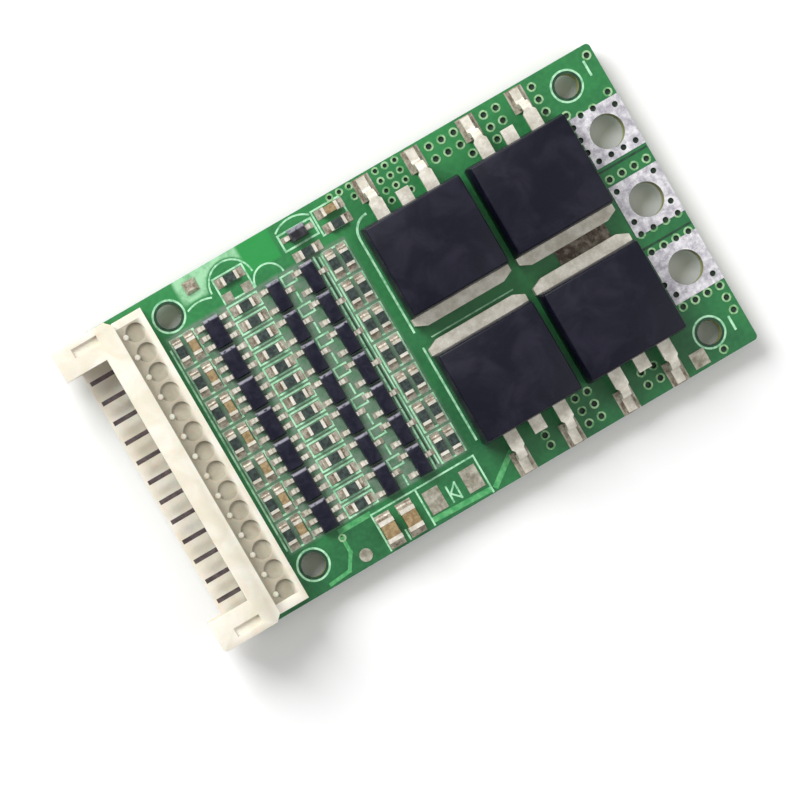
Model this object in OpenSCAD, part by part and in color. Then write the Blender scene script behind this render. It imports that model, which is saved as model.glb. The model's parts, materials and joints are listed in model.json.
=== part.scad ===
// Battery management board: power transistors, cell monitor chips and a right-angle wire header.
// Origin: centre of the four mounting holes, on the board's underside.
// +X runs to the power lands, +Z to the component side.

/* [Board] */
// Thickness of the circuit board
board_t = 1.6; // [1:0.1:2.4]
// Radius of the board's corners
corner_r = 0.4; // [0.1:0.1:1]
// Width of the band beside the chip rows, along each long edge
side_band = 4.425; // [4.3:0.025:6]
// Distance from the hole pattern's centre to the board's centreline
board_shift = -0.1; // [-0.3:0.05:0.3]
// Thickness of the tinned pads
pad_t = 0.05; // [0.03:0.01:0.1]

/* [Mounting holes] */
// Diameter of a mounting hole
hole_d = 2.2; // [1.6:0.1:2.6]
// Distance from the terminal edge to the first pair of holes
hole_to_edge = 3.6; // [3:0.1:4.5]
// Distance from the header's back to the second pair of holes
hole_to_header = 1.9; // [1.5:0.1:3]
// Distance from a long edge to the hole centres
hole_to_side = 2.55; // [2.2:0.05:2.8]

/* [Power lands] */
// Depth of a power land, from the terminal edge
land_l = 5; // [4.6:0.1:6]
// Width of a power land
land_w = 5.1; // [4.6:0.1:5.6]
// Thickness of a tinned power land
land_t = 0.08; // [0.05:0.01:0.15]
// Distance between the terminal holes
terminal_pitch = 7; // [6.5:0.1:7.4]
// Diameter of a terminal hole
terminal_d = 3.2; // [2.6:0.1:3.4]
// Distance from the terminal edge to the terminal holes
terminal_inset = 2.5; // [2.3:0.05:2.7]
// Distance from the hole pattern's centre to the middle terminal hole
terminal_shift = 0.4; // [0:0.1:0.6]

/* [Vias] */
// Diameter of a power via
via_d = 0.55; // [0.3:0.05:0.7]
// Distance between power vias
via_pitch = 1.27; // [1.1:0.01:1.4]
// Distance from the terminal edge to the first line of vias
via_inset = 0.68; // [0.6:0.01:0.8]
// Diameter of a signal via
small_via_d = 0.4; // [0.2:0.02:0.5]
// Distance between signal vias
small_via_pitch = 1; // [0.8:0.05:1.1]

/* [Power transistors] */
// Width of a transistor body
fet_w = 10; // [9.6:0.1:10.6]
// Length of a transistor body
fet_l = 9.15; // [8.6:0.05:9.6]
// Height of a transistor body
fet_h = 4.4; // [4:0.1:4.8]
// Inset of the body's top edges by its draft
fet_draft = 0.2; // [0.1:0.05:0.5]
// Length of the drain tab outside the body
tab_reach = 1.15; // [0.9:0.05:1.4]
// Thickness of the drain tab
tab_t = 1.27; // [1:0.01:1.5]
// Gap between facing drain tabs
tab_gap = 1.4; // [1:0.1:2]
// Distance from the hole pattern's centre to the middle of the tab gap
fet_shift = -0.2; // [-0.3:0.05:0.1]
// Gap between neighbouring bodies
fet_gap = 0.75; // [0.5:0.05:1.2]
// Gap between the power lands and the nearest body
fet_to_land = 0.55; // [0.3:0.05:1]
// Distance between neighbouring leads
lead_pitch = 2.54; // [2.3:0.01:2.7]
// Width of a lead's shoulder
shoulder_w = 1.27; // [1.1:0.01:1.4]
// Width of a lead's foot
foot_w = 0.85; // [0.6:0.05:1]
// Thickness of a lead
lead_t = 0.5; // [0.4:0.05:0.6]
// Height of a lead's underside where it leaves the body
lead_rise = 2.05; // [1.8:0.05:2.3]
// Length of the shoulder outside the body
shoulder_l = 1.8; // [1.5:0.1:2]
// Length of a lead outside the body
lead_l = 4.05; // [3.9:0.05:4.6]
// Length of the cropped middle lead
stub_l = 1.35; // [1:0.05:1.6]
// Gap between a foot's tip and the board's long edge
foot_to_edge = 0.2; // [0.1:0.05:0.6]
// Width of the pad under a foot
foot_pad_w = 1.75; // [1.4:0.05:1.9]
// Length of the bare strip between the tabs nearest the power lands
strip_l = 5.2; // [4:0.1:7]
// Distance of that strip's middle from the transistors' middle, towards the power lands
strip_shift = 1.05; // [0:0.05:1.4]

/* [Chip rows] */
// Number of cell channels
rows = 7; // [5:1:8]
// Length of a moulded chip, across the board
chip_l = 2.9; // [2.8:0.05:3.1]
// Gap between the chips of neighbouring rows
row_gap = 0.225; // [0.15:0.025:0.4]
// Width of a six-lead monitor chip
monitor_w = 1.6; // [1.5:0.05:1.7]
// Width of a monitor chip over its leads
monitor_span = 2.9; // [2.8:0.05:3]
// Width of a three-lead transistor
sot_w = 1.35; // [1.2:0.05:1.4]
// Width of a three-lead transistor over its leads
sot_span = 2.5; // [2.4:0.05:2.6]
// Height of a moulded chip above its pads
chip_h = 1.1; // [0.9:0.05:1.3]
// Gap between a moulded chip's underside and its pads
chip_standoff = 0.06; // [0.03:0.01:0.1]
// Distance between the leads of a moulded chip
chip_lead_pitch = 0.95; // [0.85:0.01:1]
// Width of a chip lead
chip_lead_w = 0.4; // [0.3:0.02:0.45]
// Thickness of a chip lead
chip_lead_t = 0.13; // [0.1:0.01:0.16]
// Gap between the power transistors and the gate resistors
fet_to_chips = 1.6; // [1.2:0.1:2.5]
// Distance between the two gate resistor columns
pair_pitch = 1.25; // [1.1:0.05:1.5]
// Gap between the gate resistors and the sense transistors
gate_gap = 0.65; // [0.5:0.05:1]
// Gap between the two transistor columns, lead to lead
sot_gap = 0.9; // [0.7:0.05:1.4]
// Gap between the switch transistors and the bleed resistors
bleed_gap = 0.95; // [0.9:0.05:1.4]
// Gap between the bleed resistors and the monitor chips
monitor_gap = 1.1; // [1:0.05:1.5]
// Gap between the monitor chips and the filter capacitors
filter_gap = 0.5; // [0.4:0.05:0.8]
// Gap between the supply resistors and the header
header_gap = 0.9; // [0.6:0.05:1.5]

/* [Single parts beside the rows] */
// Gap between the rows and the first line of single parts above them
single_gap = 0.3; // [0.2:0.05:0.5]
// Distance between the lines of single parts
single_pitch = 1.45; // [1.3:0.05:1.55]
// Gap between the rows and the bulk capacitors below them
bulk_gap = 1.6; // [1:0.05:1.8]
// Length of an empty diode pad, along the board
empty_l = 1.6; // [1.2:0.1:1.8]
// Width of an empty diode pad, across the board
empty_w = 2.2; // [1.8:0.1:2.4]
// Distance between the two empty diode pads, middle to middle
empty_span = 3.8; // [3.4:0.1:4]
// Gap between the rows and the empty diode pads
empty_gap = 1.3; // [1:0.05:1.6]
// Diameter of the round test pad
test_d = 1.2; // [0.8:0.1:1.4]
// Gap between the rows and the test pad
test_gap = 2.9; // [2:0.05:3]
// Size of the square pad near the last mounting hole
square_pad = 1.5; // [1:0.1:1.7]
// Length of the bare block of solder beside the first mounting hole
block_l = 1.2; // [1:0.05:1.3]
// Width of that block
block_w = 1.1; // [0.9:0.05:1.2]
// Height of that block
block_h = 0.4; // [0.3:0.05:0.6]

/* [Chip resistors and capacitors] */
// Length of a small chip part
small_l = 1.6; // [1.45:0.05:1.7]
// Width of a small chip part
small_w = 0.8; // [0.7:0.05:0.85]
// Height of a chip resistor
resistor_h = 0.45; // [0.35:0.05:0.55]
// Height of a small capacitor
capacitor_h = 0.8; // [0.6:0.05:0.9]
// Length of a small part's end terminal
small_band = 0.28; // [0.2:0.02:0.36]
// Length of a bulk capacitor
bulk_l = 2.1; // [1.9:0.05:2.2]
// Width of a bulk capacitor
bulk_w = 1.42; // [1.2:0.02:1.5]
// Height of a bulk capacitor
bulk_h = 1.25; // [1:0.05:1.4]
// Length of a bulk capacitor's end terminal
bulk_band = 0.4; // [0.3:0.05:0.5]
// Distance between the bulk capacitors
bulk_pitch = 2.14; // [2:0.02:2.3]
// Thickness of the plated metal on a terminal
plate_t = 0.04; // [0.03:0.01:0.06]
// Radius of a solder fillet at a small part's end
fillet_r = 0.3; // [0.2:0.02:0.34]
// Length of the clamp diode's body
diode_l = 1.7; // [1.5:0.05:1.9]
// Width of the clamp diode's body
diode_w = 1.25; // [1.1:0.05:1.4]
// Length of the clamp diode over its leads
diode_span = 2.6; // [2.5:0.05:2.8]

/* [Wire header] */
// Number of header contacts
pin_count = 14; // [10:1:14]
// Distance between header contacts
pin_pitch = 2; // [1.8:0.05:2.1]
// Thickness of a square contact
pin_t = 0.4; // [0.36:0.02:0.56]
// Height of the contacts above the board
pin_z = 2.4; // [2.2:0.05:2.6]
// Length of the contacts in front of their row
pin_l = 4.7; // [4.2:0.1:5.2]
// Length of the contact tails under the board
pin_tail = 1; // [0.6:0.1:1.5]
// Diameter of a header hole in the board
pin_hole_d = 0.9; // [0.85:0.05:1]
// Height of the solder cones under the board
cone_h = 0.7; // [0.4:0.05:0.9]
// Gap between the housing's ends and the board's long edges
header_inset = 0.15; // [0:0.05:0.4]
// Width of an ear
ear_w = 2.95; // [2.6:0.05:3.2]
// Height of the housing
header_h = 4.8; // [4.5:0.1:5.2]
// Thickness of the housing's floor and roof
header_wall = 0.7; // [0.6:0.05:0.9]
// Thickness of the housing's side walls
header_side = 1; // [0.8:0.05:1.1]
// Distance from the contact row to the ears' front
ear_front = 6.4; // [6:0.1:7]
// Distance from the contact row to the floor's front edge
floor_front = 4.9; // [4.7:0.1:5.4]
// Distance from the contact row to the socket's back wall
socket_back = 2.4; // [2:0.1:2.8]
// Distance from the contact row to the back of the high part
block_back = 0.5; // [0.4:0.05:0.7]
// Distance from the contact row to the housing's back
ledge_back = 2.4; // [2.2:0.1:3]
// Height of the back ledge
ledge_h = 3.2; // [3:0.1:3.6]
// Inset of the back ledge's ends
ledge_inset = 0.4; // [0.2:0.05:0.8]
// Diameter of a pocket in the back ledge
pocket_d = 1.76; // [1.5:0.02:1.76]
// Depth of a pocket in the back ledge
pocket_depth = 0.35; // [0.2:0.05:0.6]
// Diameter of the bump over each contact
bump_d = 0.6; // [0.4:0.05:0.8]
// Height of the bump over each contact
bump_h = 0.15; // [0.1:0.05:0.3]
// Distance from the contact row to the board's edge under the header
header_overlap = 3.1; // [2.6:0.1:3.8]

/* [Hidden] */
FET_PIECES = ["body", "drain_tab", "gate_lead", "source_lead"];
$fn = 32;
cut = 0.01;
drill_l = 2 * board_t;

// Distances from the terminal edge, column by column
fet_right_s = land_l + fet_to_land + fet_w / 2;
fet_left_s = fet_right_s + fet_w + fet_gap;
gate_s = fet_left_s + fet_w / 2 + fet_to_chips + small_w / 2;
sense_s = gate_s + pair_pitch + small_w / 2 + gate_gap + sot_span / 2;
switch_s = sense_s + sot_span + sot_gap;
bleed_s = switch_s + sot_span / 2 + bleed_gap + small_l / 2;
monitor_s = bleed_s + small_l / 2 + monitor_gap + monitor_span / 2;
filter_s = monitor_s + monitor_span / 2 + filter_gap + small_w / 2;
supply_s = filter_s + pair_pitch;
header_back_s = supply_s + small_w / 2 + header_gap;
pin_s = header_back_s + ledge_back;

// Across the board
row_pitch = chip_l + row_gap;
fet_reach = tab_reach + fet_l;
board_w = max(
    rows * row_pitch - row_gap + 2 * side_band,
    tab_gap + 2 * (fet_reach + lead_l + foot_to_edge)
);
top_y = board_shift + board_w / 2;
bottom_y = board_shift - board_w / 2;
header_w = board_w - 2 * header_inset;

// The mounting holes, and the board's ends
board_l = pin_s + header_overlap;
hole_span_x = header_back_s - hole_to_header - hole_to_edge;
hole_span_y = board_w - 2 * hole_to_side;
edge_x = hole_span_x / 2 + hole_to_edge;

// Parts that stand on the board: x is 0 at the terminal edge, z is 0 on the board
module on_board() translate([edge_x, 0, board_t]) children();
module in_column(s) on_board() translate([-s, 0, 0]) children();
module each_row() for (i = [1:rows]) translate([0, ((rows + 1) / 2 - i) * row_pitch, 0]) children();

// Circuit board

chips_top = (rows * row_pitch - row_gap) / 2;
function single_y(line) = chips_top + single_gap + small_w / 2 + line * single_pitch;
fet_mid_s = (fet_left_s + fet_right_s) / 2;
land_ys = [for (i = [1, 0, -1]) terminal_shift + i * terminal_pitch];

module rounded_plate(l, w, t, r) {
    linear_extrude(t) union() {
        square([l - 2 * r, w], center = true);
        square([l, w - 2 * r], center = true);
        for (x = [-1, 1]) for (y = [-1, 1]) translate([x * (l / 2 - r), y * (w / 2 - r)]) circle(r);
    }
}

// A grid of drilled vias. Its middle lies steps via pitches from the point at [s, y]
module via_grid(at, steps, counts, pitch = via_pitch, d = via_d) {
    for (i = [1:counts.x]) for (j = [1:counts.y])
        translate([-at.x, at.y, -board_t - cut])
            translate(pitch * [i - (counts.x + 1) / 2 - steps.x, j - (counts.y + 1) / 2 + steps.y, 0])
                cylinder(h = drill_l, d = d, $fn = 16);
}

// Stitching vias in and between the power lands
module land_vias() {
    upper = [via_inset, land_ys[0]];
    middle = [via_inset, land_ys[1]];
    lower = [via_inset, land_ys[2]];
    via_grid(upper, [1.5, -1.54], [4, 1]);
    via_grid(upper, [2, 1.89], [2, 1]);
    via_grid(upper, [0, 1.89], [1, 2]);
    via_grid(middle, [1.5, 2.48], [4, 1]);
    via_grid(middle, [1.5, -1.93], [4, 1]);
    via_grid(lower, [1.5, 2.09], [4, 1]);
    via_grid(lower, [1.5, -2.32], [4, 1]);
    via_grid(lower, [0, -3.78], [1, 2]);
    for (step = [0, 3]) {
        via_grid(middle, [step, 1.5], [1, 1]);
        via_grid(middle, [step, -0.95], [1, 1]);
        via_grid(lower, [step, -1.34], [1, 1]);
    }
    via_grid([land_l, land_ys[0]], [0, 0.88], [1, 4]);
    via_grid([land_l, land_ys[2]], [0, -0.36], [1, 1]);
}

// Vias between the transistor leads, counted from the long edges
module lead_vias() {
    via_grid([fet_left_s, top_y], [0, -1.45], [3, 3], small_via_pitch, small_via_d);
    via_grid([fet_left_s, top_y], [0, -1.72], [2, 1], 2 * small_via_pitch, small_via_d);
    via_grid([fet_left_s, top_y], [3.7, -0.95], [1, 2], small_via_pitch, small_via_d);
    via_grid([fet_left_s, top_y], [5.2, -0.45], [2, 1], small_via_pitch, small_via_d);
    via_grid([fet_mid_s, top_y], [-0.12, -1.25], [3, 2]);
    via_grid([fet_mid_s, top_y], [-1.57, -2.7], [1, 1]);
    via_grid([fet_right_s, top_y], [0.16, -1.25], [2, 2]);
    via_grid([fet_right_s, top_y], [0.67, -2.7], [1, 1]);
    via_grid([fet_right_s, top_y], [-3.27, -1.75], [1, 3]);
    via_grid([fet_left_s, bottom_y], [-0.3, 1.65], [1, 2], small_via_pitch);
    via_grid([fet_mid_s, bottom_y], [0.38, 1.85], [2, 3]);
    via_grid([fet_right_s, bottom_y], [-0.35, 1.57], [2, 2]);
    via_grid([monitor_s, bottom_y], [-0.4, 3.4], [1, 1], small_via_pitch, small_via_d);
    via_grid([hole_to_edge, bottom_y], [-0.28, 0.55], [1, 1]);
    via_grid([via_inset, top_y], [0, -0.75], [1, 1]);
}

module each_terminal() {
    for (y = land_ys) on_board() translate([-terminal_inset, y, -board_t - cut]) children();
}

module each_pin() {
    for (i = [1:pin_count])
        in_column(pin_s) translate([0, board_shift + (i - (pin_count + 1) / 2) * pin_pitch, 0]) children();
}

module circuit_board() {
    color("seagreen") difference() {
        translate([edge_x - board_l / 2, board_shift, 0]) rounded_plate(board_l, board_w, board_t, corner_r);
        for (x = [-1, 1]) for (y = [-1, 1])
            translate([x * hole_span_x / 2, y * hole_span_y / 2, -cut]) cylinder(h = drill_l, d = hole_d);
        each_terminal() cylinder(h = drill_l, d = terminal_d);
        each_pin() translate([0, 0, -board_t - cut]) cylinder(h = drill_l, d = pin_hole_d);
        on_board() land_vias();
        on_board() lead_vias();
    }
}

// One tinned power land: 0 is the upper one
module power_land(i) {
    color("lavender") difference() {
        on_board() translate([-land_l, land_ys[i] - land_w / 2, 0]) cube([land_l, land_w, land_t]);
        each_terminal() cylinder(h = drill_l, d = terminal_d);
        on_board() land_vias();
    }
}

// Moulded bodies and bent leads

// Section of a moulded body: it leans in above and below the mould's parting line
module moulded_section(w, h, parting, draft) {
    foot = w / 2 - draft / 3;
    roof = w / 2 - draft;
    polygon([[-foot, 0], [foot, 0], [w / 2, parting], [roof, h], [-roof, h], [-w / 2, parting]]);
}

module moulded_block(w, l, h, parting, draft) {
    intersection() {
        rotate([90, 0, 0]) linear_extrude(l, center = true) moulded_section(w, h, parting, draft);
        rotate([90, 0, 90]) linear_extrude(w, center = true) moulded_section(l, h, parting, draft);
    }
}

// A quarter of a flat ring, in the quadrant that x_side and y_side name
module quarter_bend(r, t, x_side, y_side) {
    intersection() {
        difference() {
            circle(r + t);
            circle(r);
        }
        translate([x_side > 0 ? 0 : -r - t, y_side > 0 ? 0 : -r - t]) square(r + t);
    }
}

// Side view of a gull-wing lead: it leaves the body at height rise, and its foot ends at tip
module gull_profile(inner, knee, tip, rise, t, r) {
    high = knee - t / 2 - r;
    low = knee + t / 2 + r;
    translate([inner, rise]) square([high - inner, t]);
    translate([high, rise - r]) quarter_bend(r, t, 1, 1);
    translate([knee - t / 2, t + r]) square([t, rise - t - 2 * r]);
    translate([low, t + r]) quarter_bend(r, t, -1, -1);
    translate([low, 0]) square([tip - low, t]);
}

// Stands a side view up in the XZ plane, w wide along Y
module stand_up(w) rotate([90, 0, 0]) linear_extrude(w, center = true) children();

// Power transistors

fet_front = tab_reach + fet_l;
fet_bend_r = 0.35;
fet_lead_in = 1.2;
tab_slope = 0.5;
plate_end = fet_front - 1.7;
lead_knee = shoulder_l + lead_t / 2 + fet_bend_r;
foot_start = lead_knee - lead_t;

// Transistors 1 and 2 lie above the centre, 3 and 4 below; 1 and 3 are nearer the header
module place_fet(k) {
    s = k % 2 == 1 ? fet_left_s : fet_right_s;
    side = k <= 2 ? 1 : -1;
    in_column(s) translate([0, fet_shift + side * tab_gap / 2, pad_t])
        rotate([0, 0, side > 0 ? 0 : 180]) children();
}

module drain_plate() {
    half = fet_w / 2 - 0.05;
    neck = half - 0.65;
    linear_extrude(tab_t) polygon([
        [-half + 1.05, 0], [half - 1.05, 0], [half, tab_slope], [half, tab_reach],
        [neck, tab_reach], [neck, plate_end], [-neck, plate_end], [-neck, tab_reach],
        [-half, tab_reach], [-half, tab_slope]
    ]);
}

// Drain plate with the cropped middle lead that rises from it
module drain_tab_shape() {
    drain_plate();
    translate([-shoulder_w / 2, plate_end - lead_t, 0]) cube([shoulder_w, lead_t, lead_rise + lead_t]);
    translate([-shoulder_w / 2, plate_end - lead_t, lead_rise])
        cube([shoulder_w, fet_front - plate_end + lead_t + stub_l, lead_t]);
}

// An outer lead, from its seat in the body at x = 0 out along +X
module outer_lead_shape() {
    stand_up(foot_w) gull_profile(-fet_lead_in, lead_knee, lead_l, lead_rise, lead_t, fet_bend_r);
    translate([0, 0, lead_rise]) linear_extrude(lead_t) polygon([
        [-fet_lead_in, -shoulder_w / 2], [shoulder_l - 0.25, -shoulder_w / 2], [shoulder_l, -foot_w / 2],
        [shoulder_l, foot_w / 2], [shoulder_l - 0.25, shoulder_w / 2], [-fet_lead_in, shoulder_w / 2]
    ]);
}

module at_lead(side) translate([side * lead_pitch, fet_front, 0]) rotate([0, 0, 90]) children();

module fet_body(k) {
    color("darkslategray") place_fet(k) difference() {
        translate([0, tab_reach + fet_l / 2, 0])
            moulded_block(fet_w, fet_l, fet_h, lead_rise + lead_t / 2, fet_draft);
        drain_tab_shape();
        for (side = [-1, 1]) at_lead(side) outer_lead_shape();
    }
}

module fet_drain_tab(k) color("tan") place_fet(k) drain_tab_shape();
module fet_outer_lead(k, side) color("linen") place_fet(k) at_lead(side) outer_lead_shape();

// Solder round the feet of the outer leads
module lead_solder() {
    solder_w = foot_pad_w - 3 * pad_rim;
    solder_h = 0.6 * lead_t;
    color("silver") for (k = [1:4]) for (side = [-1, 1]) place_fet(k) at_lead(side) difference() {
        translate([foot_start, 0, 0]) rotate([90, 0, 90]) linear_extrude(lead_l + pad_rim - foot_start)
            polygon([[-solder_w / 2, 0], [solder_w / 2, 0], [foot_w / 2, solder_h], [-foot_w / 2, solder_h]]);
        outer_lead_shape();
    }
}

// Moulded chips

chip_rise = 0.45;
chip_foot = 0.42;
chip_draft = 0.12;

module chip_block(w, l) {
    translate([0, 0, pad_t + chip_standoff])
        moulded_block(w, l, chip_h - chip_standoff, chip_rise + chip_lead_t / 2, chip_draft);
}

// A row of leads on the side of a chip that faces side; ys are their places
module chip_leads(w, span, side, ys) {
    for (y = ys) translate([0, y, pad_t]) rotate([0, 0, side > 0 ? 0 : 180]) stand_up(chip_lead_w)
        gull_profile(w / 2 - 0.2, span / 2 - chip_foot, span / 2, chip_rise, chip_lead_t, 0.08);
}

six_lead_ys = [-chip_lead_pitch, 0, chip_lead_pitch];
two_lead_ys = [-chip_lead_pitch, chip_lead_pitch];

module monitor_lead_set() {
    for (side = [-1, 1]) chip_leads(monitor_w, monitor_span, side, six_lead_ys);
}

// A three-lead transistor has two leads towards the header and one towards the power lands
module sot_lead_set() {
    chip_leads(sot_w, sot_span, -1, two_lead_ys);
    chip_leads(sot_w, sot_span, 1, [0]);
}

module place_monitor(i) in_column(monitor_s) translate([0, ((rows + 1) / 2 - i) * row_pitch, 0]) children();

module monitor_chip(i) {
    color("midnightblue") place_monitor(i) difference() {
        chip_block(monitor_w, chip_l);
        monitor_lead_set();
    }
}

module monitor_leads(i) color("silver") place_monitor(i) monitor_lead_set();

module sot_bodies(s) {
    color("midnightblue") in_column(s) each_row() difference() {
        chip_block(sot_w, chip_l);
        sot_lead_set();
    }
}

module sot_leads(s) color("silver") in_column(s) each_row() sot_lead_set();

// Chip resistors and capacitors, drawn along X with their middle at x = 0

// The ceramic inside the terminals; flank is its inset at the two long sides
module chip_core(size, flank) {
    translate([plate_t - size.x / 2, flank - size.y / 2, pad_t + plate_t])
        cube([size.x - 2 * plate_t, size.y - 2 * flank, size.z - 2 * plate_t]);
}

module chip_terminals(size, flank, band) {
    for (side = [-1, 1]) difference() {
        translate([side * (size.x - band) / 2, 0, pad_t + size.z / 2])
            cube([band, size.y, size.z], center = true);
        chip_core(size, flank);
    }
}

resistor = [small_l, small_w, resistor_h];
capacitor = [small_l, small_w, capacitor_h];
bulk = [bulk_l, bulk_w, bulk_h];

module turned() rotate([0, 0, 90]) children();
module each_supply() in_column(supply_s) each_row() turned() children();
module each_gate() {
    for (s = [gate_s, gate_s + pair_pitch]) in_column(s) each_row() turned() children();
}
module each_bleed() {
    in_column(bleed_s) each_row() for (side = [-1, 1])
        translate([0, side * row_pitch / 4, 0]) children();
}
// Columns of the single parts above the transistors and the gate resistors
diode_s = sense_s - small_w;
single_s = gate_s - small_w;
// One filter capacitor for each row, and one by the top edge
module each_filter() {
    in_column(filter_s) each_row() turned() children();
    in_column(single_s) translate([0, single_y(1.6), 0]) children();
}
module each_trim() {
    in_column(bleed_s) translate([0, single_y(1), 0]) children();
    in_column(diode_s) translate([0, single_y(0), 0]) children();
    in_column(single_s) translate([0, single_y(0.6), 0]) children();
}
module each_bulk() {
    for (side = [-1, 1]) in_column(bleed_s - bulk_pitch + side * bulk_pitch / 2)
        translate([0, -chips_top - bulk_gap - bulk_l / 2, 0]) turned() children();
}

module place_diode() in_column(diode_s) translate([0, single_y(1.3), 0]) children();

module diode_lead_set() {
    for (side = [-1, 1]) chip_leads(diode_l, diode_span, side, [0]);
}

module clamp_diode_body() {
    color("dimgray") place_diode() difference() {
        chip_block(diode_l, diode_w);
        diode_lead_set();
    }
}

// Pads and solder

module place_block() in_column(monitor_s) translate([0, single_y(1.75), 0]) children();

module pad(x, y, l, w) translate([x - l / 2, y - w / 2, 0]) cube([l, w, pad_t]);

pad_in = 0.3;
pad_out = 0.6;
pad_rim = 0.1;

module end_pads(size) {
    for (side = [-1, 1])
        pad(side * (size.x + pad_out - pad_in) / 2, 0, pad_in + pad_out, size.y + 0.1);
}

module lead_pads(span, side, ys) for (y = ys) pad(side * (span / 2 - 0.05), y, 0.7, chip_lead_w + 0.15);

module fet_pads() {
    for (k = [1:4]) place_fet(k) translate([0, 0, -pad_t]) {
        pad(0, (tab_slope + plate_end) / 2, fet_w - 4 * pad_rim, plate_end - tab_slope);
        for (side = [-1, 1]) at_lead(side)
            pad((foot_start + lead_l + pad_rim) / 2, 0, lead_l + pad_rim - foot_start, foot_pad_w);
    }
    in_column(fet_right_s - strip_shift) pad(0, fet_shift, strip_l, tab_gap + 2 * tab_slope);
}

// Places that the board leaves without a part
module empty_pads() {
    for (side = [-1, 1]) in_column(gate_s + empty_w + side * empty_span / 2)
        pad(0, -chips_top - empty_gap - empty_w / 2, empty_l, empty_w);
    in_column(bleed_s) translate([0, single_y(0), 0]) end_pads(resistor);
    in_column(fet_right_s - fet_w / 2) pad(0, bottom_y + 0.7 * square_pad, square_pad, square_pad);
    in_column(monitor_s - monitor_span / 2) translate([0, -chips_top - test_gap - test_d / 2, 0])
        cylinder(h = pad_t, d = test_d);
    place_block() pad(0, 0, block_l + pad_rim, block_w + pad_rim);
}

module tinned_pads() {
    color("gainsboro") {
        fet_pads();
        empty_pads();
        in_column(monitor_s) each_row() for (side = [-1, 1]) lead_pads(monitor_span, side, six_lead_ys);
        for (s = [switch_s, sense_s]) in_column(s) each_row() {
            lead_pads(sot_span, -1, two_lead_ys);
            lead_pads(sot_span, 1, [0]);
        }
        each_supply() end_pads(resistor);
        each_gate() end_pads(resistor);
        each_bleed() end_pads(resistor);
        each_trim() end_pads(resistor);
        each_filter() end_pads(capacitor);
        each_bulk() end_pads(bulk);
        place_diode() for (side = [-1, 1]) lead_pads(diode_span, side, [0]);
    }
}

// Hollow solder fillet against each end of a chip part
module end_fillets(size, r) {
    lip = 0.03;
    for (side = [-1, 1]) rotate([0, 0, side > 0 ? 0 : 180]) translate([size.x / 2, 0, pad_t])
        stand_up(size.y) difference() {
            square(r + lip);
            translate([r + lip, r + lip]) circle(r);
        }
}

module chip_solder() {
    color("whitesmoke") {
        each_supply() end_fillets(resistor, fillet_r);
        each_gate() end_fillets(resistor, fillet_r);
        each_bleed() end_fillets(resistor, fillet_r);
        each_trim() end_fillets(resistor, fillet_r);
        each_filter() end_fillets(capacitor, fillet_r);
        each_bulk() end_fillets(bulk, fillet_r + 0.15);
        place_block() translate([0, 0, pad_t])
            moulded_block(block_l, block_w, block_h, block_h / 4, block_h / 2);
    }
}

// Wire header: x is 0 at the contact row, and the socket opens towards -X

contact_bend_r = 0.25;
tip_chamfer = 0.12;
pocket_x = ledge_back - 0.55 - pocket_d / 2;

module contact_shape() {
    bend_x = -pin_t / 2 - contact_bend_r;
    low = pin_z - pin_t / 2;
    stand_up(pin_t) {
        polygon([
            [bend_x, low], [bend_x, low + pin_t], [tip_chamfer - pin_l, low + pin_t],
            [-pin_l, low + pin_t - tip_chamfer], [-pin_l, low + tip_chamfer], [tip_chamfer - pin_l, low]
        ]);
        translate([bend_x, low - contact_bend_r]) quarter_bend(contact_bend_r, pin_t, 1, 1);
        polygon([
            [-pin_t / 2, low - contact_bend_r], [-pin_t / 2, tip_chamfer - board_t - pin_tail],
            [tip_chamfer - pin_t / 2, -board_t - pin_tail], [pin_t / 2 - tip_chamfer, -board_t - pin_tail],
            [pin_t / 2, tip_chamfer - board_t - pin_tail], [pin_t / 2, low - contact_bend_r]
        ]);
    }
}

module header_contacts() color("dimgray") each_pin() contact_shape();

// Outline of the high part, seen from above: its back corners are cut off
module high_outline() {
    nose = 0.25;
    back = 0.6;
    half = header_w / 2;
    polygon([
        [-ear_front + nose, -half], [-block_back - back, -half], [-block_back, -half + back],
        [-block_back, half - back], [-block_back - back, half], [-ear_front + nose, half],
        [-ear_front, half - nose], [-ear_front, -half + nose]
    ]);
}

// Space for the plug: open to the front everywhere, and open above and below between the ears
module socket_space() {
    inner = header_w - 2 * header_side;
    between = header_w - 2 * ear_w;
    far = ear_front + 1;
    translate([-far, -inner / 2, header_wall])
        cube([far - socket_back, inner, header_h - 2 * header_wall]);
    translate([-far, -between / 2, header_wall])
        cube([far - socket_back, between, header_h]);
    translate([-far, -between / 2, -1])
        cube([far - floor_front, between, header_wall + 1 + cut]);
}

// A shallow rectangular recess on top of each ear
module ear_recesses() {
    recess = [2.5, 0.85, 0.35];
    for (side = [-1, 1])
        translate([-socket_back - recess.x / 2 + 0.2, side * (header_w / 2 - header_side - 0.05), header_h])
            cube([recess.x, recess.y, 2 * recess.z], center = true);
}

// Over each contact the back ledge has a small bump, and behind it a shallow round pocket
module ledge_bump() translate([0, 0, ledge_h]) cylinder(h = bump_h, d1 = bump_d, d2 = 0.6 * bump_d);

module ledge_pocket() translate([pocket_x, 0, ledge_h - pocket_depth]) cylinder(h = ledge_h, d = pocket_d);

module header_housing() {
    color("ivory") difference() {
        in_column(pin_s) translate([0, board_shift, 0]) difference() {
            union() {
                linear_extrude(header_h) high_outline();
                translate([-block_back - cut, ledge_inset - header_w / 2, 0])
                    cube([ledge_back + block_back + cut, header_w - 2 * ledge_inset, ledge_h]);
            }
            socket_space();
            ear_recesses();
        }
        each_pin() contact_shape();
        each_pin() ledge_pocket();
    }
    color("ivory") each_pin() ledge_bump();
}

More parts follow.
